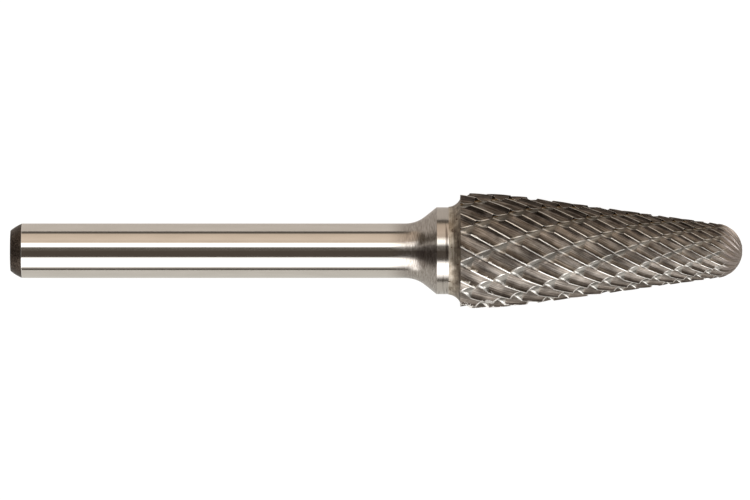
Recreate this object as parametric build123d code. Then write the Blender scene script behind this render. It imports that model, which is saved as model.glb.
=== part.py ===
"""Carbide burr with a tapered, ball-ended, double-cut head on a plain cylindrical shank.

Frame: the origin is the centre of the shank's end face, +X runs along the axis to the nose
of the head, and +Z is up. Lengths are in millimetres and angles in degrees.

Three pieces, none of which moves: a turned steel shank, a tungsten carbide cutting head, and
the braze that joins them end to end.
"""

from build123d import *
from bisect import bisect_right
from math import acos, atan2, ceil, cos, floor, hypot, pi, radians, sin, sqrt, tan
import os

# Shank
SHANK_DIA = 6.0              # the size that a 6 mm collet grips
SHANK_LENGTH = 43.35         # end face to the start of the neck's flare
END_CHAMFER_LENGTH = 1.27    # crowned chamfer on the driven end
END_CHAMFER_DROP = 0.77      # how far the radius falls over that chamfer
END_CROWN_RADIUS = 4.5       # the chamfer is a slightly convex arc

# Neck between the shank and the joint
NECK_FILLET_RADIUS = 3.5     # concave arc that leaves the shank
NECK_FLARE_ANGLE = 38.7      # slope of the cone that follows it
COLLAR_DIA = 9.55
COLLAR_LENGTH = 2.5          # straight stretch, the last of it under the braze

# Braze
BRAZE_FILM = 0.1             # thickness between the two flat faces
BRAZE_REACH = 1.2            # how far the fillet creeps back along the collar
BRAZE_LIP = 0.04             # thickness of its thin edge on the collar
BRAZE_FILLET_RADIUS = 1.6    # concave surface of the fillet
BRAZE_CLEARANCE = 0.05       # the fillet stops this far inside the roots of the teeth

# Head envelope, which the crests of the teeth lie on
HEAD_DIA = 12.7
HEAD_LENGTH = 31.0
REAR_LAND = 0.8              # straight stretch at the back of the head
SHOULDER_RADIUS = 51.0       # long arc from that stretch to the taper
NOSE_RADIUS = 3.0

# Flutes: right-hand, hollow-ground, one between each two teeth
FLUTE_COUNT = 20
FLUTE_HELIX = 29.2
FLUTE_DEPTH = 0.090          # of the local head radius
FLUTE_PHASE = 3.2            # angle of the first tooth at the back face, from +Z to +Y
LAND_END = 0.07              # land, as a share of one pitch behind the cutting edge
FLANK_BREAK = 0.30           # the steep upper part of the hollow flank ends here
GULLET_BOTTOM = 0.83         # deepest line, where the rake face starts

# Cross cuts: left-hand, ground like the flutes, they break each tooth into short ones
CROSS_CUT_COUNT = 10
CROSS_CUT_HELIX = 26.0       # at the back
CROSS_CUT_EASING = 0.0081    # how fast they straighten towards the nose, in radians per wrap
CROSS_CUT_DEPTH = 0.094      # of the local head radius
CROSS_CUT_PHASE = -12.0      # angle of the first cut at the back face, from +Z to +Y
CUT_START = 0.64             # share of one pitch at which the surface starts to fall
CUT_BREAK = 0.74             # the steep upper part of the hollow side ends here
CUT_BOTTOM = 0.92            # deepest line, where the steep side starts
CROSS_CUT_END = 29.6         # from the back face, where the last of a cross cut runs out
CROSS_CUT_RUN_OUT = 1.6      # distance over which its depth dies away

BREAK_DEPTH = 0.62           # of the full depth, at the break of a hollow side
TIP_RADIUS = 0.6             # smooth tip that the flutes run out on, over as much again

STATION_STEP = 0.02          # spacing of the points at which the envelope is worked out


# Places that follow from the sizes above
shank_radius = SHANK_DIA / 2
collar_radius = COLLAR_DIA / 2
head_radius = HEAD_DIA / 2
flare_drop = NECK_FILLET_RADIUS * (1 - cos(radians(NECK_FLARE_ANGLE)))
flare_end = SHANK_LENGTH + NECK_FILLET_RADIUS * sin(radians(NECK_FLARE_ANGLE))
collar_start = flare_end + (collar_radius - shank_radius - flare_drop) / tan(radians(NECK_FLARE_ANGLE))
collar_end = collar_start + COLLAR_LENGTH
head_back = collar_end + BRAZE_FILM


def turned(outline):
    """A solid of revolution about the X axis from a closed outline in the XZ plane."""
    return revolve(make_face(outline), Axis.X)


def at(x, radius):
    """A point of a turned outline."""
    return Vector(x, 0, radius)


def arc(start, end, radius, bulge):
    """An arc that runs forward and bulges away from the axis (1) or towards it (-1)."""
    chord = end - start
    outward = Vector(-chord.Z, 0, chord.X).normalized()
    sagitta = radius - sqrt(radius**2 - (chord.length / 2)**2)
    return ThreePointArc(start, (start + end) / 2 + outward * sagitta * bulge, end)


def build_shank():
    """Shank, flared neck and collar, turned from one steel bar."""
    end_edge = at(0, shank_radius - END_CHAMFER_DROP)
    chamfer_edge = at(END_CHAMFER_LENGTH, shank_radius)
    flare_start = at(SHANK_LENGTH, shank_radius)
    cone_start = at(flare_end, shank_radius + flare_drop)
    return turned([
        arc(end_edge, chamfer_edge, END_CROWN_RADIUS, 1),
        Line(chamfer_edge, flare_start),
        arc(flare_start, cone_start, NECK_FILLET_RADIUS, -1),
        Polyline(
            cone_start,
            at(collar_start, collar_radius),
            at(collar_end, collar_radius),
            at(collar_end, 0),
            at(0, 0),
            end_edge,
        ),
    ])


def build_braze_joint():
    """The film between the two flat faces, with the fillet that is drawn out round it."""
    foot = at(collar_end - BRAZE_REACH, collar_radius + BRAZE_LIP)
    root = head_radius * (1 - max(FLUTE_DEPTH, CROSS_CUT_DEPTH))
    brim = at(head_back, root - BRAZE_CLEARANCE)
    return turned([
        arc(foot, brim, BRAZE_FILLET_RADIUS, -1),
        Polyline(
            brim,
            at(head_back, 0),
            at(collar_end, 0),
            at(collar_end, collar_radius),
            at(collar_end - BRAZE_REACH, collar_radius),
            foot,
        ),
    ])


def head_envelope():
    """The curve that the crests lie on, from the back face to the nose.

    It is a straight stretch, a long arc, a straight taper that is tangent to it, and the
    nose. Distances run forward from the back face.
    """
    nose_centre = HEAD_LENGTH - NOSE_RADIUS
    run = nose_centre - REAR_LAND
    rise = SHOULDER_RADIUS - head_radius
    taper = atan2(run, rise) - acos((SHOULDER_RADIUS - NOSE_RADIUS) / hypot(run, rise))

    def on_arc(centre, radius, angle):
        return at(centre.X + radius * sin(angle), centre.Z + radius * cos(angle))

    shoulder = at(REAR_LAND, head_radius - SHOULDER_RADIUS)
    nose = at(nose_centre, 0)
    taper_start = on_arc(shoulder, SHOULDER_RADIUS, taper)
    taper_end = on_arc(nose, NOSE_RADIUS, taper)
    return Wire([
        Line(at(-HEAD_LENGTH / 4, head_radius), at(REAR_LAND, head_radius)),
        ThreePointArc(
            at(REAR_LAND, head_radius), on_arc(shoulder, SHOULDER_RADIUS, taper / 2), taper_start
        ),
        Line(taper_start, taper_end),
        ThreePointArc(taper_end, on_arc(nose, NOSE_RADIUS, (taper + pi / 2) / 2), at(HEAD_LENGTH, 0)),
    ])


class ToothLattice:
    """The two families of lines that cross on the head.

    A line of constant helix angle turns by tan(helix) for each step of wrap, which is the
    distance run along the envelope divided by the radius there. So the flutes are straight
    lines in angle and wrap, and the cross cuts are nearly straight. A place on the head is
    given by its count of flutes and its count of cross cuts.
    """

    def __init__(self):
        envelope = head_envelope()
        steps = ceil(envelope.length / STATION_STEP)
        self.points = [envelope.position_at(i / steps) for i in range(steps)]
        self.wraps = [0.0]
        for before, after in zip(self.points, self.points[1:]):
            self.wraps.append(self.wraps[-1] + (after - before).length / ((after.Z + before.Z) / 2))
        wrap_at_back = next(wrap for wrap, point in zip(self.wraps, self.points) if point.X >= 0)
        self.wraps = [wrap - wrap_at_back for wrap in self.wraps]
        self.flute_step = 2 * pi / FLUTE_COUNT
        self.cut_step = 2 * pi / CROSS_CUT_COUNT
        self.flute_turn = tan(radians(FLUTE_HELIX))
        self.turn_apart = self.flute_turn + tan(radians(CROSS_CUT_HELIX))
        self.phase_apart = radians(FLUTE_PHASE - CROSS_CUT_PHASE)

    def cuts_at(self, flutes, wrap):
        """The count of cross cuts where a flute line reaches this wrap."""
        apart = self.turn_apart * wrap - CROSS_CUT_EASING * wrap**2
        return (flutes * self.flute_step + self.phase_apart - apart) / self.cut_step

    def wrap_at(self, flutes, cuts):
        """The wrap at which a flute line and a cross cut line cross."""
        apart = flutes * self.flute_step + self.phase_apart - cuts * self.cut_step
        return 2 * apart / (self.turn_apart + sqrt(self.turn_apart**2 - 4 * CROSS_CUT_EASING * apart))

    def point(self, flutes, cuts, flute_depth, cut_depth):
        """The point of the surface at this count of flutes and of cross cuts."""
        wrap = self.wrap_at(flutes, cuts)
        i = min(max(bisect_right(self.wraps, wrap), 1), len(self.wraps) - 1)
        share = min((wrap - self.wraps[i - 1]) / (self.wraps[i] - self.wraps[i - 1]), 1)
        before, after = self.points[i - 1], self.points[i]
        x = before.X + (after.X - before.X) * share
        radius = before.Z + (after.Z - before.Z) * share
        flute_fade = min(max(radius / TIP_RADIUS - 1, 0), 1)
        cut_fade = min(max((CROSS_CUT_END - x) / CROSS_CUT_RUN_OUT, 0), 1)
        depth = radius * max(flute_depth * FLUTE_DEPTH * flute_fade, cut_depth * CROSS_CUT_DEPTH * cut_fade)
        slant = atan2(before.Z - after.Z, after.X - before.X)
        x -= depth * sin(slant)
        radius -= depth * cos(slant)
        angle = flutes * self.flute_step + radians(FLUTE_PHASE) - self.flute_turn * wrap
        return Vector(head_back + x, radius * sin(angle), radius * cos(angle))


def tooth_facets(lattice):
    """Flat facets of the toothed surface, cell by cell between neighbouring lines.

    Each pair in the two lists is a share of a pitch and the share of full depth there. The
    surface takes the deeper of the two, so the facets of a cell are split along the diagonal on
    which flute and cross cut are equally deep.
    """
    across = [(0, 0), (LAND_END, 0), (FLANK_BREAK, BREAK_DEPTH), (GULLET_BOTTOM, 1), (1, 0)]
    along = [(0, 0), (CUT_START, 0), (CUT_BREAK, BREAK_DEPTH), (CUT_BOTTOM, 1), (1, 0)]
    facets = []
    for tooth in range(FLUTE_COUNT):
        first_cut = floor(lattice.cuts_at(tooth, lattice.wraps[-2]))
        last_cut = ceil(lattice.cuts_at(tooth + 1, 0))
        for cut in range(first_cut, last_cut):
            grid = [
                [lattice.point(tooth + a, cut + b, flute, notch) for b, notch in along]
                for a, flute in across
            ]
            for i in range(len(across) - 1):
                for j in range(len(along) - 1):
                    near, far = grid[i], grid[i + 1]
                    if (across[i + 1][1] > across[i][1]) == (along[j + 1][1] > along[j][1]):
                        facets.append([near[j], far[j], far[j + 1]])
                        facets.append([near[j], far[j + 1], near[j + 1]])
                    else:
                        facets.append([near[j], far[j], near[j + 1]])
                        facets.append([far[j], far[j + 1], near[j + 1]])
    return facets


def clipped(corners, x, side):
    """What is left of a flat polygon on one side of the plane at x: 1 is above it and -1 below."""
    kept = []
    for here, there in zip(corners, corners[1:] + corners[:1]):
        if side * (here.X - x) >= 0:
            kept.append(here)
        if (side * (here.X - x) >= 0) != (side * (there.X - x) >= 0):
            low, high = sorted((here, there), key=lambda corner: corner.X)
            crossing = low + (high - low) * ((x - low.X) / (high.X - low.X))
            kept.append(Vector(x, crossing.Y, crossing.Z))
    return kept


def rim(polygons, x):
    """The corners that lie in the plane at x, once each, in order round the axis."""
    found = {}
    for corners in polygons:
        for corner in corners:
            if corner.X == x:
                found[round(atan2(corner.Y, corner.Z), 6)] = corner
    return [found[angle] for angle in sorted(found)]


def build_cutting_head():
    """Toothed surface, closed by the flat back face and a small smooth tip."""
    tip_start = head_back + HEAD_LENGTH - NOSE_RADIUS + sqrt(NOSE_RADIUS**2 - TIP_RADIUS**2)
    polygons = []
    for facet in tooth_facets(ToothLattice()):
        if min(corner.X for corner in facet) < head_back:
            facet = clipped(facet, head_back, 1)
        if facet and max(corner.X for corner in facet) > tip_start:
            facet = clipped(facet, tip_start, -1)
        if len(facet) > 2:
            polygons.append(facet)
    back = rim(polygons, head_back)
    tip = rim(polygons, tip_start)
    pole = Vector(head_back + HEAD_LENGTH, 0, 0)
    polygons.append(back)
    polygons += [[here, there, pole] for here, there in zip(tip, tip[1:] + tip[:1])]
    return Solid(Shell([Face(Wire.make_polygon(corners)) for corners in polygons]))


os.makedirs("parts", exist_ok=True)
pieces = {
    "shank": build_shank(),
    "braze_joint": build_braze_joint(),
    "cutting_head": build_cutting_head(),
}
for name, piece in pieces.items():
    export_step(piece, f"parts/{name}.step")
    print(f"{name}: {piece.volume:.2f} mm3")
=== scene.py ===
import math
from bisect import bisect_right

import bpy
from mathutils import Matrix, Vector


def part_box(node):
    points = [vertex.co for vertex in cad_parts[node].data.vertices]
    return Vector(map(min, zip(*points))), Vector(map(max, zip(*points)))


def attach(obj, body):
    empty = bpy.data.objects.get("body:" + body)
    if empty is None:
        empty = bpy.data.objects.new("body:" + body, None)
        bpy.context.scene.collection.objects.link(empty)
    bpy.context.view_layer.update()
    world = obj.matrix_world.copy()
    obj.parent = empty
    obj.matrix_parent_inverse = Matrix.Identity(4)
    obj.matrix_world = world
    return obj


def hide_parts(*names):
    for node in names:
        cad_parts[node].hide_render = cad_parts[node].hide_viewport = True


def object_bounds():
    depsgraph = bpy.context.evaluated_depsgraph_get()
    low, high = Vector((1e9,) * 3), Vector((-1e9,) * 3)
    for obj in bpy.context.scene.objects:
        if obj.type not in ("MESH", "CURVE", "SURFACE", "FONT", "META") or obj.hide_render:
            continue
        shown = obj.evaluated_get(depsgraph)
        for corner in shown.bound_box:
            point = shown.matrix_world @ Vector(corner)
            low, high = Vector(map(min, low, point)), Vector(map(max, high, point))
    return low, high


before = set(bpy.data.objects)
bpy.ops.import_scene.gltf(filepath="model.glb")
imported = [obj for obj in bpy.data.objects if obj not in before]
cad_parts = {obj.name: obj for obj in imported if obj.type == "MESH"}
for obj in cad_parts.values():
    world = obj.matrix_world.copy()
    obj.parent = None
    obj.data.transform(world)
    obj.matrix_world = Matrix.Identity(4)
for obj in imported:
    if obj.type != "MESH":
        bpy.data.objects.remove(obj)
cad_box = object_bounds()
scene = bpy.context.scene


# ---------------------------------------------------------------------------------------------
# View
# The burr lies along X and the lens looks straight down on it, from far enough away that its
# two sides look parallel.

MM = 0.001
VIEW_WIDTH = 82.4 * MM            # what the frame takes in, at the height of the axis
VIEW_CENTRE_X = 40.03 * MM
VIEW_CENTRE_Y = 0.08 * MM
LENS_HEIGHT = 1.03                # in metres, above the axis
SENSOR_WIDTH = 36.0               # in millimetres, as Blender takes it

bpy.ops.object.camera_add(location=(VIEW_CENTRE_X, VIEW_CENTRE_Y, LENS_HEIGHT), rotation=(0, 0, 0))
camera = bpy.context.object
camera.data.sensor_width = SENSOR_WIDTH
camera.data.lens = SENSOR_WIDTH * LENS_HEIGHT / VIEW_WIDTH
scene.camera = camera
scene.view_settings.view_transform = "Standard"


# ---------------------------------------------------------------------------------------------
# Studio
# Long soft boxes arch over the burr, with dark gaps between them and a dark strip over the lens.
# Bright metal shows them as straight bands along the shank. Each end of the studio is a dim wall,
# and the lens itself sees plain white.

SOFT_BOX = 2.7                    # strength of a soft box
ARCHES = [                        # degrees from the XZ plane towards +Y, colour, strength
    (-90, "6E6861", 0.8),
    (-83, "5C5650", 0.8),
    (-79, "A8A29B", 1.0),
    (-73, "FFFFFF", 1.3),
    (-64, "FFFFFF", SOFT_BOX),
    (-36, "FFFFFF", 1.2 * SOFT_BOX),
    (-26, "564E47", 1.0),
    (-4, "5A524B", 1.0),
    (13, "6A645D", 1.0),
    (20, "FBFCFC", SOFT_BOX),
    (27, "FFFDF9", SOFT_BOX),
    (36, "D9C8B7", 1.1),
    (48, "EAD9C8", 1.1),
    (74, "E2D0BD", 1.0),
    (80, "66605A", 0.9),
    (90, "6E6861", 0.9),
]
FAR_WALL = [                      # past the nose of the burr
    (-90, "9A948D", 1.0),
    (-30, "B0A8A2", 1.0),
    (-20, "5A524C", 1.0),
    (5, "5A524C", 1.0),
    (14, "C4BCAE", 1.0),
    (35, "D2C8B8", 1.0),
    (90, "C4BAAA", 1.0),
]
NEAR_WALL = [                     # past the end of its shank
    (-90, "BDB6AE", 1.0),
    (-30, "B0A8A2", 1.0),
    (-20, "453D38", 1.0),
    (9, "3D3632", 1.0),
    (12, "F0ECE6", 1.0),
    (14, "F0ECE6", 1.0),
    (17, "5F564A", 1.0),
    (90, "7A7064", 1.0),
]
NEAR_END = (0.42, 0.80)           # where the arches give way to a wall: the X part of a direction
FAR_END = (0.35, 0.65)


def linear(hex_colour, strength=1.0):
    """Linear RGBA from an sRGB hex value."""
    channels = []
    for i in (0, 2, 4):
        c = int(hex_colour[i:i + 2], 16) / 255
        channels.append(strength * (c / 12.92 if c <= 0.04045 else ((c + 0.055) / 1.055) ** 2.4))
    return (*channels, 1.0)


def node(tree, kind, inputs=(), settings=None, stops=()):
    """Adds a node. Each input is a fixed value, or the node or the socket that feeds it."""
    made = tree.nodes.new("ShaderNode" + kind)
    for name, value in (settings or {}).items():
        setattr(made, name, value)
    for key, value in inputs.items() if isinstance(inputs, dict) else enumerate(inputs):
        if isinstance(value, bpy.types.Node):
            value = next(output for output in value.outputs if output.enabled)
        if isinstance(value, bpy.types.NodeSocket):
            tree.links.new(value, made.inputs[key])
        else:
            made.inputs[key].default_value = value
    for i, (place, colour) in enumerate(stops):
        elements = made.color_ramp.elements
        element = elements[i] if i < len(elements) else elements.new(place)
        element.position = place
        element.color = colour
    return made


def around(bands):
    """Ramp stops for bands that are given in degrees."""
    return [(0.5 + degrees / 180, linear(colour, strength)) for degrees, colour, strength in bands]


world = bpy.data.worlds.new("studio")
scene.world = world
world.use_nodes = True
tree = world.node_tree
tree.nodes.clear()
direction = node(tree, "TexCoord").outputs["Generated"]
axes = node(tree, "SeparateXYZ", [direction])
lean = node(tree, "Math", [axes.outputs["Y"]], {"operation": "ARCSINE"})
share = node(tree, "Math", [lean, 1 / math.pi, 0.5], {"operation": "MULTIPLY_ADD"})
arches = node(tree, "ValToRGB", [share], stops=around(ARCHES))
far_wall = node(tree, "ValToRGB", [share], stops=around(FAR_WALL))
near_wall = node(tree, "ValToRGB", [share], stops=around(NEAR_WALL))
near_end = node(tree, "MapRange", [axes.outputs["X"], -NEAR_END[0], -NEAR_END[1]],
                {"interpolation_type": "SMOOTHSTEP"})
far_end = node(tree, "MapRange", [axes.outputs["X"], FAR_END[0], FAR_END[1]],
               {"interpolation_type": "SMOOTHSTEP"})
room = node(tree, "Mix", {0: near_end, 6: arches, 7: near_wall}, {"data_type": "RGBA"})
room = node(tree, "Mix", {0: far_end, 6: room, 7: far_wall}, {"data_type": "RGBA"})
ray = node(tree, "LightPath")
seen = node(tree, "Mix", {0: ray.outputs["Is Camera Ray"], 6: room, 7: linear("FFFFFF")},
            {"data_type": "RGBA"})
background = node(tree, "Background", {"Color": seen})
node(tree, "OutputWorld", [background])


# ---------------------------------------------------------------------------------------------
# Floor
# A plain white sheet of paper. It looks white from above and keeps a pale shadow. In the metal it
# shows painted shade: its far side and the part beside the head are painted greyer, as if they got
# less light.

FLOOR_SIDE = 3.0                  # in metres
SHADE_WIDTH = 6.0 * MM            # half of the stretch over which it turns greyer
SHADE_START = 6.0 * MM            # where it does so beside the head, from the middle of the sheet
GLOW = 1.12                       # what the lens sees
GLOW_SHARE = 0.85
MIRROR_SHARE = 0.75               # how much of that look the metal shows
floor_height = cad_box[0][2]

bpy.ops.mesh.primitive_plane_add(size=FLOOR_SIDE, location=(VIEW_CENTRE_X, 0, floor_height))
floor = bpy.context.object
floor.name = "floor"
paper = bpy.data.materials.new("white_paper")
paper.use_nodes = True
tree = paper.node_tree
tree.nodes.clear()
sheet = node(tree, "BsdfDiffuse", {"Color": linear("F4F3F1")})
glow = node(tree, "Emission", {"Color": linear("FFFFFF"), "Strength": GLOW})
on_sheet = node(tree, "SeparateXYZ", [node(tree, "TexCoord").outputs["Object"]])
to_shade = node(tree, "MapRange", [on_sheet.outputs["Y"], -SHADE_WIDTH, SHADE_WIDTH],
                {"interpolation_type": "SMOOTHSTEP"})
to_head = node(tree, "MapRange", [on_sheet.outputs["X"], SHADE_START, SHADE_START + 2 * SHADE_WIDTH],
               {"interpolation_type": "SMOOTHSTEP"})
# painted shade: the glow that the metal sees is painted greyer on the sheet's far side and beside the
# head
far_side = node(tree, "Mix", {0: to_head, 6: linear("D6CEC6"), 7: linear("80776E")},
                {"data_type": "RGBA"})
near_side = node(tree, "Mix", {0: to_head, 6: linear("DAD8D2"), 7: linear("8B8680")},
                 {"data_type": "RGBA"})
sides = node(tree, "Mix", {0: to_shade, 6: near_side, 7: far_side}, {"data_type": "RGBA"})
mirrored = node(tree, "Emission", {"Color": sides, "Strength": 1.0})
ray = node(tree, "LightPath")
seen = node(tree, "MixShader", [GLOW_SHARE, sheet, glow])
in_metal = node(tree, "MixShader", [MIRROR_SHARE, sheet, mirrored])
unseen = node(tree, "MixShader", [ray.outputs["Is Glossy Ray"], sheet, in_metal])
surface = node(tree, "MixShader", [ray.outputs["Is Camera Ray"], unseen, seen])
node(tree, "OutputMaterial", [surface])
floor.data.materials.append(paper)


# ---------------------------------------------------------------------------------------------
# Shank
# Hardened steel bar, centreless ground and then brazed to the head. The neck and the collar were
# turned. The end kept the dark scale of its heat treatment. All sizes are in millimetres.

CHAMFER_LENGTH = 1.27
SCALE_FADE = 0.03                 # how sharply the scale ends
EDGE_LINE = 0.15                  # half the width of the painted highlight along the edge that closes the chamfer
NECK_START = 43.0                 # where the ground finish ends and the turned one starts
NECK_FADE = 2.0                   # how long the one takes to fade into the other
COLLAR_START = 46.8
COLLAR_FADE = 0.1
SCRATCH_PITCH = 0.02              # between the ground scratches: drawn coarser, about 0.005 is real
SCRATCH_LENGTH = 1.667            # how far one runs round the bar
RING_PITCH = 0.07                 # between the turned rings, as the feed of the tool left them
RING_LENGTH = 0.7                 # how far one runs before it breaks
COLLAR_PITCH = 0.30               # between the broad rings on the collar
COLLAR_RING_LENGTH = 6.667
STAIN_LENGTH = 4.0                # of the faint stains on the ground part, along the bar
STAIN_WIDTH = 0.8333
SCALE_GRAIN = 0.12                # grain of the scale: drawn coarser, about 0.05 is real
GROUND_ROUGHNESS = 0.085
TURNED_ROUGHNESS = 0.215
COLLAR_ROUGHNESS = 0.16
SCALE_ROUGHNESS = 0.435
RELIEF = 0.012                    # height of the marks below, which are shares of it
SCRATCH_RELIEF = 0.03
RING_RELIEF = 0.45
COLLAR_RELIEF = 2.0
SCALE_RELIEF = 1.6

# Ground steel: the light runs along it in sharp bands, only just softened by the scratches round
# it. They fade into a satin neck with fine rings, and the scale is dull and nearly black.
steel = bpy.data.materials.new("ground_steel")
steel.use_nodes = True
tree = steel.node_tree
tree.nodes.clear()
place = node(tree, "TexCoord").outputs["Object"]
in_mm = node(tree, "VectorMath", {0: place, 3: 1 / MM}, {"operation": "SCALE"})
along = node(tree, "SeparateXYZ", [in_mm]).outputs["X"]
on_chamfer = node(tree, "MapRange", [along, CHAMFER_LENGTH - SCALE_FADE, CHAMFER_LENGTH, 1.0, 0.0])
# painted highlight: a thin near-white ring is painted where the chamfer meets the ground part,
# standing for the glint on that edge
across_edge = node(tree, "MapRange", [along, CHAMFER_LENGTH - EDGE_LINE, CHAMFER_LENGTH + EDGE_LINE])
edge_highlight = node(tree, "ValToRGB", [across_edge], stops=[
    (0.3, linear("000000")), (0.5, linear("FFFFFF")), (0.7, linear("000000"))])
on_collar = node(tree, "MapRange", [along, COLLAR_START, COLLAR_START + COLLAR_FADE],
                 {"interpolation_type": "SMOOTHSTEP"})

stretched = node(tree, "Mapping", {
    "Vector": in_mm, "Scale": (1 / SCRATCH_PITCH, 1 / SCRATCH_LENGTH, 1 / SCRATCH_LENGTH)})
scratches = node(tree, "TexNoise", {"Vector": stretched, "Scale": 1.0, "Detail": 3.0})
stretched = node(tree, "Mapping", {
    "Vector": in_mm, "Scale": (1 / RING_PITCH, 1 / RING_LENGTH, 1 / RING_LENGTH)})
rings = node(tree, "TexNoise", {"Vector": stretched, "Scale": 1.0, "Detail": 4.0, "Roughness": 0.7})
ragged = node(tree, "Math", [rings, NECK_FADE, along], {"operation": "MULTIPLY_ADD"})
on_neck = node(tree, "MapRange", [ragged, NECK_START - NECK_FADE / 2, NECK_START + NECK_FADE],
               {"interpolation_type": "SMOOTHSTEP"})
on_flare = node(tree, "Math", [on_neck, on_collar], {"operation": "SUBTRACT"})
stretched = node(tree, "Mapping", {
    "Vector": in_mm, "Scale": (1 / COLLAR_PITCH, 1 / COLLAR_RING_LENGTH, 1 / COLLAR_RING_LENGTH)})
broad_rings = node(tree, "TexNoise", {"Vector": stretched, "Scale": 1.0, "Detail": 3.0})
grain = node(tree, "TexNoise", {
    "Vector": in_mm, "Scale": 1 / SCALE_GRAIN, "Detail": 4.0, "Roughness": 0.65})
stretched = node(tree, "Mapping", {
    "Vector": in_mm, "Scale": (1 / STAIN_LENGTH, 1 / STAIN_WIDTH, 1 / STAIN_WIDTH)})
stain = node(tree, "TexNoise", {"Vector": stretched, "Scale": 1.0, "Detail": 3.0})

bright = node(tree, "Mix", {0: stain, 6: linear("CFCAC3"), 7: linear("E2DDD7")}, {"data_type": "RGBA"})
turned = node(tree, "ValToRGB", [rings], stops=[
    (0.30, linear("837B74")), (0.50, linear("A8A19A")), (0.72, linear("C8C2BC"))])
colour = node(tree, "Mix", {0: on_flare, 6: bright, 7: turned}, {"data_type": "RGBA"})
lined = node(tree, "ValToRGB", [broad_rings], stops=[
    (0.36, linear("857D76")), (0.46, linear("C2BCB5"))])
colour = node(tree, "Mix", {0: on_collar, 6: colour, 7: lined}, {"data_type": "RGBA"})
scale = node(tree, "ValToRGB", [grain], stops=[
    (0.32, linear("241E1A")), (0.5, linear("483F38")), (0.70, linear("7C7066"))])
colour = node(tree, "Mix", {0: on_chamfer, 6: colour, 7: scale}, {"data_type": "RGBA"})
colour = node(tree, "Mix", {0: edge_highlight, 6: colour, 7: linear("F2EEE9")}, {"data_type": "RGBA"})
roughness = GROUND_ROUGHNESS
for stretch, rougher in (
        (on_flare, TURNED_ROUGHNESS), (on_collar, COLLAR_ROUGHNESS), (on_chamfer, SCALE_ROUGHNESS)):
    roughness = node(tree, "Math", [stretch, rougher - GROUND_ROUGHNESS, roughness],
                     {"operation": "MULTIPLY_ADD"})
height = node(tree, "Math", [scratches, SCRATCH_RELIEF], {"operation": "MULTIPLY"})
for marks, stretch, relief in (
        (rings, on_flare, RING_RELIEF), (broad_rings, on_collar, COLLAR_RELIEF),
        (grain, on_chamfer, SCALE_RELIEF)):
    marked = node(tree, "Math", [marks, stretch], {"operation": "MULTIPLY"})
    height = node(tree, "Math", [marked, relief, height], {"operation": "MULTIPLY_ADD"})
bump = node(tree, "Bump", {"Strength": 0.35, "Distance": RELIEF * MM, "Height": height})
surface = node(tree, "BsdfPrincipled", {
    "Base Color": colour, "Metallic": 1.0, "Roughness": roughness, "Normal": bump})
node(tree, "OutputMaterial", [surface])
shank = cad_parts["shank"]
shank.data.materials.clear()
shank.data.materials.append(steel)


# ---------------------------------------------------------------------------------------------
# Braze
# Silver brazing alloy, melted between collar and head and drawn out into a hollow ring as it
# set. All sizes are in millimetres.

BLOTCH = 0.8                      # size of the blotches
RIPPLE_PITCH = 0.09               # between the ripples that run round it
RIPPLE_LENGTH = 2.0
RIPPLE_RELIEF = 0.05
SPOT = 0.45                       # size of the flux spots
SPOTTED = (0.64, 0.72)            # where the noise that places the spots starts and ends
PALEST = -0.48                    # shade at the collar, before the blotches and the ripples
HEAT = 0.40                       # what is added to it against the head
BLOTCH_SHADE = 1.1                # what the blotches add
RIPPLE_SHADE = 0.75

# Braze with its flux still on it: a blotchy satin skin, pale where it is thin on the collar and
# brown with flux and heat against the head.
braze_start, braze_end = (corner.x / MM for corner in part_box("braze_joint"))
braze = bpy.data.materials.new("silver_braze")
braze.use_nodes = True
tree = braze.node_tree
tree.nodes.clear()
place = node(tree, "TexCoord").outputs["Object"]
in_mm = node(tree, "VectorMath", {0: place, 3: 1 / MM}, {"operation": "SCALE"})
along = node(tree, "SeparateXYZ", [in_mm]).outputs["X"]
to_head = node(tree, "MapRange", [along, braze_start, braze_end])
blotches = node(tree, "TexNoise", {
    "Vector": in_mm, "Scale": 1 / BLOTCH, "Detail": 5.0, "Roughness": 0.6})
stretched = node(tree, "Mapping", {
    "Vector": in_mm, "Scale": (1 / RIPPLE_PITCH, 1 / RIPPLE_LENGTH, 1 / RIPPLE_LENGTH)})
ripples = node(tree, "TexNoise", {"Vector": stretched, "Scale": 1.0, "Detail": 3.0, "Roughness": 0.6})
spots = node(tree, "TexNoise", {"Vector": in_mm, "Scale": 1 / SPOT, "Detail": 2.0})
shade = node(tree, "Math", [to_head, HEAT, PALEST], {"operation": "MULTIPLY_ADD"})
shade = node(tree, "Math", [blotches, BLOTCH_SHADE, shade], {"operation": "MULTIPLY_ADD"})
shade = node(tree, "Math", [ripples, RIPPLE_SHADE, shade], {"operation": "MULTIPLY_ADD"})
skin = node(tree, "ValToRGB", [shade], stops=[
    (0.05, linear("E6E0D8")), (0.35, linear("C2B8AA")), (0.6, linear("958A7B")),
    (0.85, linear("6C6155")), (1.0, linear("493E35"))])
spotted = node(tree, "MapRange", [spots, *SPOTTED])
skin = node(tree, "Mix", {0: spotted, 6: skin, 7: linear("4A3328")}, {"data_type": "RGBA"})
bump = node(tree, "Bump", {"Strength": 0.6, "Distance": RIPPLE_RELIEF * MM, "Height": ripples})
surface = node(tree, "BsdfPrincipled", {
    "Base Color": skin, "Metallic": 0.85, "Roughness": 0.40, "Normal": bump})
node(tree, "OutputMaterial", [surface])
braze_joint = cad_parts["braze_joint"]
braze_joint.data.materials.clear()
braze_joint.data.materials.append(braze)


# ---------------------------------------------------------------------------------------------
# Cutting head
# Tungsten carbide with a cobalt binder, sintered as a plain taper and then diamond ground: first
# the right-hand flutes, then the left-hand cuts that break each tooth. Wheels with a round edge
# left both of them hollow.

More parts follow.
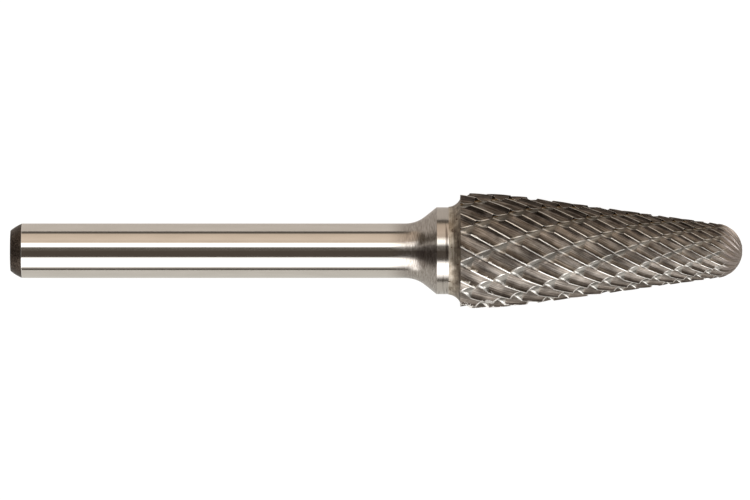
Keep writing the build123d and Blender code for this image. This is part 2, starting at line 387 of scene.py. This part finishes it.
HEAD_LENGTH = 31.0 * MM
HEAD_RADIUS = 6.322 * MM          # at the crests: a 12.7 mm blank, less what the lands take off
REAR_LAND = 0.8 * MM              # the straight part at the back
SHOULDER_RADIUS = 51.0 * MM       # of the curve that leads into the taper
NOSE_RADIUS = 3.0 * MM
TIP_RADIUS = 0.6 * MM             # of the small cap that closes the nose
LEAD_IN = HEAD_LENGTH / 4         # how far the lattice reaches past the back before it is cut off
FLUTE_RUN_OUT = 2.4 * MM          # radius at which the flutes start to run out
FLUTES = 20
FLUTE_HELIX = math.radians(29.2)
FLUTE_PHASE = math.radians(3.2)
FLUTE_DEPTH = 0.090               # of the local radius
LAND_END = 0.07                   # shares of one flute's pitch
GULLET_BOTTOM = 0.84
FLANK_HOLLOW = 3.6                # how hollow the gentle side is: 1 would be flat
RAKE_HOLLOW = 1.6
CUTS = 10
CUT_HELIX = math.radians(26.0)    # at the back
CUT_EASING = 0.0081               # how fast the cuts straighten towards the nose
CUT_PHASE = math.radians(-12.0)
CUT_DEPTH = 0.094                 # of the local radius
CUT_END = 29.6 * MM               # from the back
CUT_RUN_OUT = 1.6 * MM
CUT_START = 0.65                  # shares of one cut's pitch
CUT_BOTTOM = 0.89
WALL_START = 0.98                 # the steep side of a cut
CUT_HOLLOW = 2.4
LEVELS = 5                        # steps down each side of a flute or a cut
CREST_STEPS = 6                   # steps along the uncut part of a tooth
WALK_STEP = 0.02 * MM
MERGE = 0.0005 * MM
SHARP = math.radians(30)          # edges sharper than this stay sharp

head_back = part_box("cutting_head")[0].x
nose_x = HEAD_LENGTH - NOSE_RADIUS
run = nose_x - REAR_LAND
rise = SHOULDER_RADIUS - HEAD_RADIUS
taper = math.atan2(run, rise) - math.acos((SHOULDER_RADIUS - NOSE_RADIUS) / math.hypot(run, rise))
tip_x = head_back + nose_x + math.sqrt(NOSE_RADIUS**2 - TIP_RADIUS**2)


def envelope():
    """Points along the curve that the crests lie on: distance from the back face, radius, slant."""
    shoulder_length = SHOULDER_RADIUS * taper
    taper_length = math.sqrt(run**2 + rise**2 - (SHOULDER_RADIUS - NOSE_RADIUS)**2)
    nose_length = NOSE_RADIUS * (math.pi / 2 - taper)
    total = LEAD_IN + REAR_LAND + shoulder_length + taper_length + nose_length
    for i in range(int(total / WALK_STEP)):
        d = i * WALK_STEP - LEAD_IN
        if d < REAR_LAND:
            yield d, HEAD_RADIUS, 0.0
            continue
        d -= REAR_LAND
        if d < shoulder_length:
            slant = d / SHOULDER_RADIUS
            yield (REAR_LAND + SHOULDER_RADIUS * math.sin(slant),
                   HEAD_RADIUS - SHOULDER_RADIUS * (1 - math.cos(slant)), slant)
            continue
        d -= shoulder_length
        if d < taper_length:
            yield (REAR_LAND + SHOULDER_RADIUS * math.sin(taper) + d * math.cos(taper),
                   HEAD_RADIUS - SHOULDER_RADIUS * (1 - math.cos(taper)) - d * math.sin(taper), taper)
            continue
        slant = taper + (d - taper_length) / NOSE_RADIUS
        yield nose_x + NOSE_RADIUS * math.sin(slant), NOSE_RADIUS * math.cos(slant), slant


# Each station's wrap is its way along the curve in local radii, counted from the back face. A
# groove at a steady angle turns by its wrap times the slope of that angle.
stations = list(envelope())
wraps = [0.0]
for (x0, r0, _), (x1, r1, _) in zip(stations, stations[1:]):
    wraps.append(wraps[-1] + math.hypot(x1 - x0, r1 - r0) / ((r0 + r1) / 2))
wrap_at_back = next(w for w, station in zip(wraps, stations) if station[0] >= 0)
wraps = [w - wrap_at_back for w in wraps]

flute_step = 2 * math.pi / FLUTES
cut_step = 2 * math.pi / CUTS
turn_apart = math.tan(FLUTE_HELIX) + math.tan(CUT_HELIX)


def place_on_head(flute, cut, flute_share, cut_share):
    """Where a count of flutes meets a count of cuts, sunk by their shares of full depth."""
    apart = flute * flute_step + FLUTE_PHASE - CUT_PHASE - cut * cut_step
    wrap = (turn_apart - math.sqrt(turn_apart**2 - 4 * CUT_EASING * apart)) / (2 * CUT_EASING)
    i = min(max(bisect_right(wraps, wrap), 1), len(wraps) - 1)
    share = min((wrap - wraps[i - 1]) / (wraps[i] - wraps[i - 1]), 1.0)
    x, radius, slant = (a + (b - a) * share for a, b in zip(stations[i - 1], stations[i]))
    flute_fade = min(max((radius - TIP_RADIUS) / (FLUTE_RUN_OUT - TIP_RADIUS), 0), 1)
    cut_fade = min(max((CUT_END - x) / CUT_RUN_OUT, 0), 1)
    depth = radius * max(flute_share * FLUTE_DEPTH * flute_fade, cut_share * CUT_DEPTH * cut_fade)
    x -= depth * math.sin(slant)
    radius -= depth * math.cos(slant)
    angle = flute * flute_step + FLUTE_PHASE - math.tan(FLUTE_HELIX) * wrap
    return Vector((head_back + x, radius * math.sin(angle), radius * math.cos(angle)))


def hollow(top, bottom, depth, power):
    """The share of a pitch at which a hollow side, from its top to its bottom, is this deep."""
    return top + (bottom - top) * (1 - (1 - depth) ** (1 / power))


# The section of a flute and that of a cut, as shares of its pitch and of its full depth.
levels = [math.sin(math.pi / 2 * i / LEVELS) for i in range(LEVELS + 1)]
across = [(0.0, 0.0)]
across += [(hollow(LAND_END, GULLET_BOTTOM, d, FLANK_HOLLOW), d) for d in levels]
across += [(hollow(1.0, GULLET_BOTTOM, d, RAKE_HOLLOW), d) for d in reversed(levels[:-1])]
along = [(CUT_START * i / CREST_STEPS, 0.0) for i in range(CREST_STEPS)]
along += [(hollow(CUT_START, CUT_BOTTOM, d, CUT_HOLLOW), d) for d in levels]
along += [(1 - (1 - WALL_START) * d, d) for d in reversed(levels)]

# The lattice covers the flutes that go with one cut, and is then spun round to make the head.
teeth = FLUTES // CUTS
furthest = turn_apart * wraps[-1] - CUT_EASING * wraps[-1]**2
first_cut = math.floor((FLUTE_PHASE - CUT_PHASE - furthest) / cut_step)
last_cut = math.ceil((teeth * flute_step + FLUTE_PHASE - CUT_PHASE) / cut_step)
columns = [(tooth + a, d) for tooth in range(teeth) for a, d in across[:-1]] + [(teeth, 0.0)]
rows = [(cut + b, d) for cut in range(first_cut, last_cut) for b, d in along[:-1]] + [(last_cut, 0.0)]

bpy.ops.object.select_all(action="DESELECT")
bpy.ops.mesh.primitive_grid_add(x_subdivisions=len(columns) - 1, y_subdivisions=len(rows) - 1, size=2)
head = bpy.context.object
head.name = "toothed_head"
mesh = head.data
lattice_map = mesh.uv_layers.new(name="lattice") if not mesh.uv_layers else mesh.uv_layers[0]
lattice_map.name = "lattice"
places = []
for vertex in mesh.vertices:
    column = columns[round((vertex.co.x + 1) / 2 * (len(columns) - 1))]
    row = rows[round((vertex.co.y + 1) / 2 * (len(rows) - 1))]
    places.append((column, row))
for loop in mesh.loops:
    column, row = places[loop.vertex_index]
    lattice_map.data[loop.index].uv = (column[0], row[0])
in_flute = mesh.attributes.new("in_flute", "FLOAT", "POINT")
in_cut = mesh.attributes.new("in_cut", "FLOAT", "POINT")
for vertex, (column, row) in zip(mesh.vertices, places):
    in_flute.data[vertex.index].value = column[1]
    in_cut.data[vertex.index].value = row[1]
    vertex.co = place_on_head(column[0], row[0], column[1], row[1])

# Each quad is split along the diagonal that keeps the valley between flute and cut.
for face in mesh.polygons:
    corners = [places[v] for v in face.vertices]
    left, right = min(c[0] for c in corners), max(c[0] for c in corners)
    low, high = min(c[1] for c in corners), max(c[1] for c in corners)
    face.select = (right[1] > left[1]) == (high[1] > low[1])
bpy.ops.object.mode_set(mode="EDIT")
bpy.ops.mesh.select_mode(type="FACE")
bpy.ops.mesh.quads_convert_to_tris(quad_method="FIXED", ngon_method="BEAUTY")
bpy.ops.mesh.select_all(action="SELECT")
bpy.ops.mesh.quads_convert_to_tris(quad_method="FIXED_ALTERNATE", ngon_method="BEAUTY")
bpy.ops.mesh.select_all(action="SELECT")
bpy.ops.mesh.spin(steps=CUTS, angle=2 * math.pi, center=(0, 0, 0), axis=(1, 0, 0), dupli=True)
bpy.ops.mesh.select_all(action="SELECT")
bpy.ops.mesh.remove_doubles(threshold=MERGE)
bpy.ops.mesh.select_all(action="SELECT")
bpy.ops.mesh.bisect(
    plane_co=(head_back, 0, 0), plane_no=(1, 0, 0), use_fill=True, clear_inner=True, threshold=MERGE)
bpy.ops.mesh.select_all(action="SELECT")
bpy.ops.mesh.bisect(
    plane_co=(tip_x, 0, 0), plane_no=(1, 0, 0), use_fill=True, clear_outer=True, threshold=MERGE)
bpy.ops.mesh.select_all(action="SELECT")
bpy.ops.mesh.normals_make_consistent(inside=False)
bpy.ops.object.mode_set(mode="OBJECT")
for face in mesh.polygons:
    face.select = face.center.x > tip_x - 2 * MERGE
bpy.ops.object.mode_set(mode="EDIT")
bpy.ops.mesh.poke(offset=head_back + HEAD_LENGTH - 2 * MERGE - tip_x)
bpy.ops.object.mode_set(mode="OBJECT")
bpy.ops.object.shade_smooth_by_angle(angle=SHARP)

STREAKS = 26                      # grinding streaks across one flute, drawn coarser than they are
STREAK_BREAKS = 0.9               # how often one breaks from cut to cut
CROSS_STREAKS = 2 * STREAKS       # across one cut
CROSS_BREAKS = 1.5                # how often one of those breaks from flute to flute
DRIFT = 0.35                      # to a millimetre: it keeps the spun copies from looking alike
STREAK_RELIEF = 0.02 * MM
GRIT = 0.05                       # in mm, on every ground face: drawn coarser, about 0.02 is real
GRIT_RELIEF = 0.25                # of that of the streaks
SMOOTHEST = 0.38                  # roughness
ROUGHER = 0.15                    # what the streaks add to it
PATCHES = 0.55                    # lighter and darker areas to a millimetre
PATCH_SHADE = 0.60                # what they add to the shade of a flute
STREAK_SHADE = 1.2                # what the streaks add
DARKEST = -0.27                   # the shade before either is added
LAND_WOBBLE = 0.06                # how far the edge of a land wanders, in shares of a flute's pitch
LAND_BLUR = 0.015                 # how softly a land ends
BRINK = 0.965                     # from here on, a cut's edge by the rake is painted as a narrow bright brink, a painted highlight
BRINK_BLUR = 0.01
BRINK_SHINE = 0.65                # of a land's
LIP = 0.05                        # the rounded lip along a cut's steep side, in shares of its pitch
LIP_BLUR = 0.006
LIP_DROP = 0.03 * MM              # how much lower its outer edge is
CUT_BLUR = 0.02                   # how softly a flute gives way to a cut, in shares of full depth
WALL_BLUR = 0.005                 # how softly its steep side starts, in shares of its pitch
WORN_LENGTH = 9.0 * MM            # the teeth at the back are the most worn
WORN_WIDTH = 0.22                 # how much wider their lands are at most, in shares of a pitch
CHIP = 0.6                        # in mm, the size of the chips along them
CHIPPED = (0.50, 0.68)            # where the noise that places the chips starts and ends
NOSE_START = 28.2 * MM            # from the back: from here on the nose was ground finer
NOSE_SHARE = 0.85                 # how much of its own colour the nose shows
NOSE_SHINE = 0.3                  # of a land's

# Ground carbide: a dark, slightly brown grey with streaks along each flute. Lands, lips and worn edges
# are painted as thin white lines, partly their paler finish and partly a painted highlight, and the
# steep side of a cut is painted bronze, a painted reflection of the tan light.
carbide = bpy.data.materials.new("ground_carbide")
carbide.use_nodes = True
tree = carbide.node_tree
tree.nodes.clear()
place = node(tree, "TexCoord").outputs["Object"]
in_mm = node(tree, "VectorMath", {0: place, 3: 1 / MM}, {"operation": "SCALE"})
lattice = node(tree, "UVMap", settings={"uv_map": "lattice"})
counts = node(tree, "SeparateXYZ", [lattice])
flute_share = node(tree, "Math", [counts.outputs["X"]], {"operation": "FRACT"})
cut_share = node(tree, "Math", [counts.outputs["Y"]], {"operation": "FRACT"})
flute_depth = node(tree, "Attribute", settings={"attribute_name": "in_flute"}).outputs["Fac"]
cut_depth = node(tree, "Attribute", settings={"attribute_name": "in_cut"}).outputs["Fac"]

patches = node(tree, "TexNoise", {"Vector": in_mm, "Scale": PATCHES, "Detail": 3.0})
drift = node(tree, "Mapping", {"Vector": in_mm, "Scale": (0.0, DRIFT, DRIFT)})
stretched = node(tree, "Mapping", {"Vector": lattice, "Scale": (STREAKS, STREAK_BREAKS, 1.0)})
drifted = node(tree, "VectorMath", [stretched, drift], {"operation": "ADD"})
streaks = node(tree, "TexNoise", {
    "Vector": drifted, "Scale": 1.0, "Detail": 4.0, "Roughness": 0.65})
stretched = node(tree, "Mapping", {"Vector": lattice, "Scale": (CROSS_BREAKS, CROSS_STREAKS, 1.0)})
drifted = node(tree, "VectorMath", [stretched, drift], {"operation": "ADD"})
cross_streaks = node(tree, "TexNoise", {
    "Vector": drifted, "Scale": 1.0, "Detail": 4.0, "Roughness": 0.65})
grit = node(tree, "TexNoise", {"Vector": in_mm, "Scale": 1 / GRIT, "Detail": 3.0, "Roughness": 0.7})

# A point belongs to the cut where that is deeper than the flute. Lands are wider where worn.
lead = node(tree, "Math", [cut_depth, flute_depth], {"operation": "SUBTRACT"})
is_cut = node(tree, "MapRange", [lead, 0.0, CUT_BLUR])
uncut = node(tree, "Math", [1.0, is_cut], {"operation": "SUBTRACT"})
along = node(tree, "SeparateXYZ", [in_mm]).outputs["X"]
from_back = node(tree, "Math", [along, head_back / MM], {"operation": "SUBTRACT"})
near_back = node(tree, "MapRange", [from_back, WORN_LENGTH / MM, 0.0, 0.0, WORN_WIDTH])
chips = node(tree, "TexNoise", {"Vector": in_mm, "Scale": 1 / CHIP, "Detail": 4.0, "Roughness": 0.7})
chipped = node(tree, "MapRange", [chips, *CHIPPED])
worn = node(tree, "Math", [chipped, near_back], {"operation": "MULTIPLY"})
land_width = node(tree, "Math", [patches, LAND_WOBBLE, LAND_END - LAND_WOBBLE / 2],
                  {"operation": "MULTIPLY_ADD"})
land_width = node(tree, "Math", [land_width, worn], {"operation": "ADD"})
from_land = node(tree, "Math", [flute_share, land_width], {"operation": "SUBTRACT"})
on_top = node(tree, "MapRange", [from_land, -LAND_BLUR, LAND_BLUR, 1.0, 0.0])
on_brink = node(tree, "MapRange", [flute_share, BRINK - BRINK_BLUR, BRINK + BRINK_BLUR])
in_crossing = node(tree, "Math", [on_top, on_brink], {"operation": "ADD"})
in_crossing = node(tree, "Math", [in_crossing, BRINK_SHINE], {"operation": "MULTIPLY"})
# painted highlight: lands, brinks and worn edges are painted near white, partly the paler finish of a
# ground land and partly a painted highlight on its edge
land_highlight = node(tree, "Mix", {0: is_cut, 2: on_top, 3: in_crossing})
fading = [from_back, (CUT_END - CUT_RUN_OUT / 2) / MM, CUT_END / MM, 1.0, NOSE_SHINE]
off_nose = node(tree, "MapRange", fading, {"interpolation_type": "SMOOTHSTEP"})
land_highlight = node(tree, "Math", [land_highlight, off_nose], {"operation": "MULTIPLY"})
steep = node(tree, "MapRange", [cut_share, WALL_START, WALL_START + WALL_BLUR])
is_wall = node(tree, "Math", [steep, is_cut], {"operation": "MULTIPLY"})
# painted reflection: the steep side of a cut is painted bronze where the cut is deep, standing for the
# tan light it reflects, and dark brown where it is shallow
painted_wall_reflection = node(tree, "ValToRGB", [cut_depth], stops=[
    (0.55, linear("2E2620")), (0.75, linear("A98F6E")), (1.0, linear("B9A081"))])

# The lip starts at the top of the steep side, which is lower where the flute is deep.
past_wall = node(tree, "Math", [flute_depth, 1 - WALL_START, cut_share], {"operation": "MULTIPLY_ADD"})
past_wall = node(tree, "Math", [past_wall], {"operation": "FRACT"})
lip_width = node(tree, "ValToRGB", [flute_share], stops=[
    (0.0, linear("9A9A9A")), (0.15, linear("FFFFFF")), (0.55, linear("F0F0F0")),
    (GULLET_BOTTOM, linear("000000"))])
reach = node(tree, "Math", [lip_width, LIP], {"operation": "MULTIPLY"})
inside_lip = node(tree, "Math", [reach, past_wall], {"operation": "SUBTRACT"})
near_lip = node(tree, "MapRange", [inside_lip, -LIP_BLUR, LIP_BLUR])
# painted highlight: the lip is painted near white, standing for the glint on its rounded edge; the
# rounding itself is a bump
lip_highlight = node(tree, "Math", [near_lip, uncut], {"operation": "MULTIPLY"})
lip_rise = node(tree, "Math", [past_wall, 1 / LIP], {"operation": "MULTIPLY", "use_clamp": True})
lip_round = node(tree, "Math", [lip_rise, 0.5], {"operation": "POWER"})
lip_height = node(tree, "Mix", {0: near_lip, 2: 1.0, 3: lip_round})

ground = node(tree, "Math", [patches, PATCH_SHADE, DARKEST], {"operation": "MULTIPLY_ADD"})
ground = node(tree, "Math", [streaks, STREAK_SHADE, ground], {"operation": "MULTIPLY_ADD"})
flute_colour = node(tree, "ValToRGB", [ground], stops=[
    (0.35, linear("4E4843")), (0.55, linear("746D66")), (0.70, linear("9A928A")),
    (0.88, linear("C8C0B7"))])
hollow_shade = node(tree, "ValToRGB", [flute_share], stops=[
    (LAND_END, linear("A8A29E")), (0.22, linear("F0ECE8")), (0.50, linear("FFFFFF")),
    (0.80, linear("F0ECE8")), (0.92, linear("A8A29E"))])
flute_colour = node(tree, "Mix", {0: 1.0, 6: flute_colour, 7: hollow_shade},
                    {"data_type": "RGBA", "blend_type": "MULTIPLY"})
cut_colour = node(tree, "ValToRGB", [cross_streaks], stops=[
    (0.3, linear("5F5B55")), (0.5, linear("7F7B75")), (0.7, linear("A19E96"))])
colour = node(tree, "Mix", {0: is_cut, 6: flute_colour, 7: cut_colour}, {"data_type": "RGBA"})
colour = node(tree, "Mix", {0: lip_highlight, 6: colour, 7: linear("FCF9F4")}, {"data_type": "RGBA"})
colour = node(tree, "Mix", {0: land_highlight, 6: colour, 7: linear("F8F5F0")}, {"data_type": "RGBA"})
colour = node(tree, "Mix", {0: is_wall, 6: colour, 7: painted_wall_reflection}, {"data_type": "RGBA"})
on_nose = node(tree, "MapRange", [from_back, NOSE_START / MM, CUT_END / MM, 0.0, NOSE_SHARE],
               {"interpolation_type": "SMOOTHSTEP"})
nose_colour = node(tree, "ValToRGB", [streaks], stops=[
    (0.35, linear("9E938D")), (0.65, linear("E6DCD5"))])
colour = node(tree, "Mix", {0: on_nose, 6: colour, 7: nose_colour}, {"data_type": "RGBA"})
roughness = node(tree, "Math", [streaks, ROUGHER, SMOOTHEST], {"operation": "MULTIPLY_ADD"})
height = node(tree, "Math", [grit, GRIT_RELIEF, streaks], {"operation": "MULTIPLY_ADD"})
bump = node(tree, "Bump", {"Strength": 0.6, "Distance": STREAK_RELIEF, "Height": height})
bump = node(tree, "Bump", {
    "Strength": 1.0, "Distance": LIP_DROP, "Height": lip_height, "Normal": bump})
surface = node(tree, "BsdfPrincipled", {
    "Base Color": colour, "Metallic": 1.0, "Roughness": roughness, "Normal": bump})
node(tree, "OutputMaterial", [surface])
head.data.materials.clear()
head.data.materials.append(carbide)
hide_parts("cutting_head")
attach(head, "root")
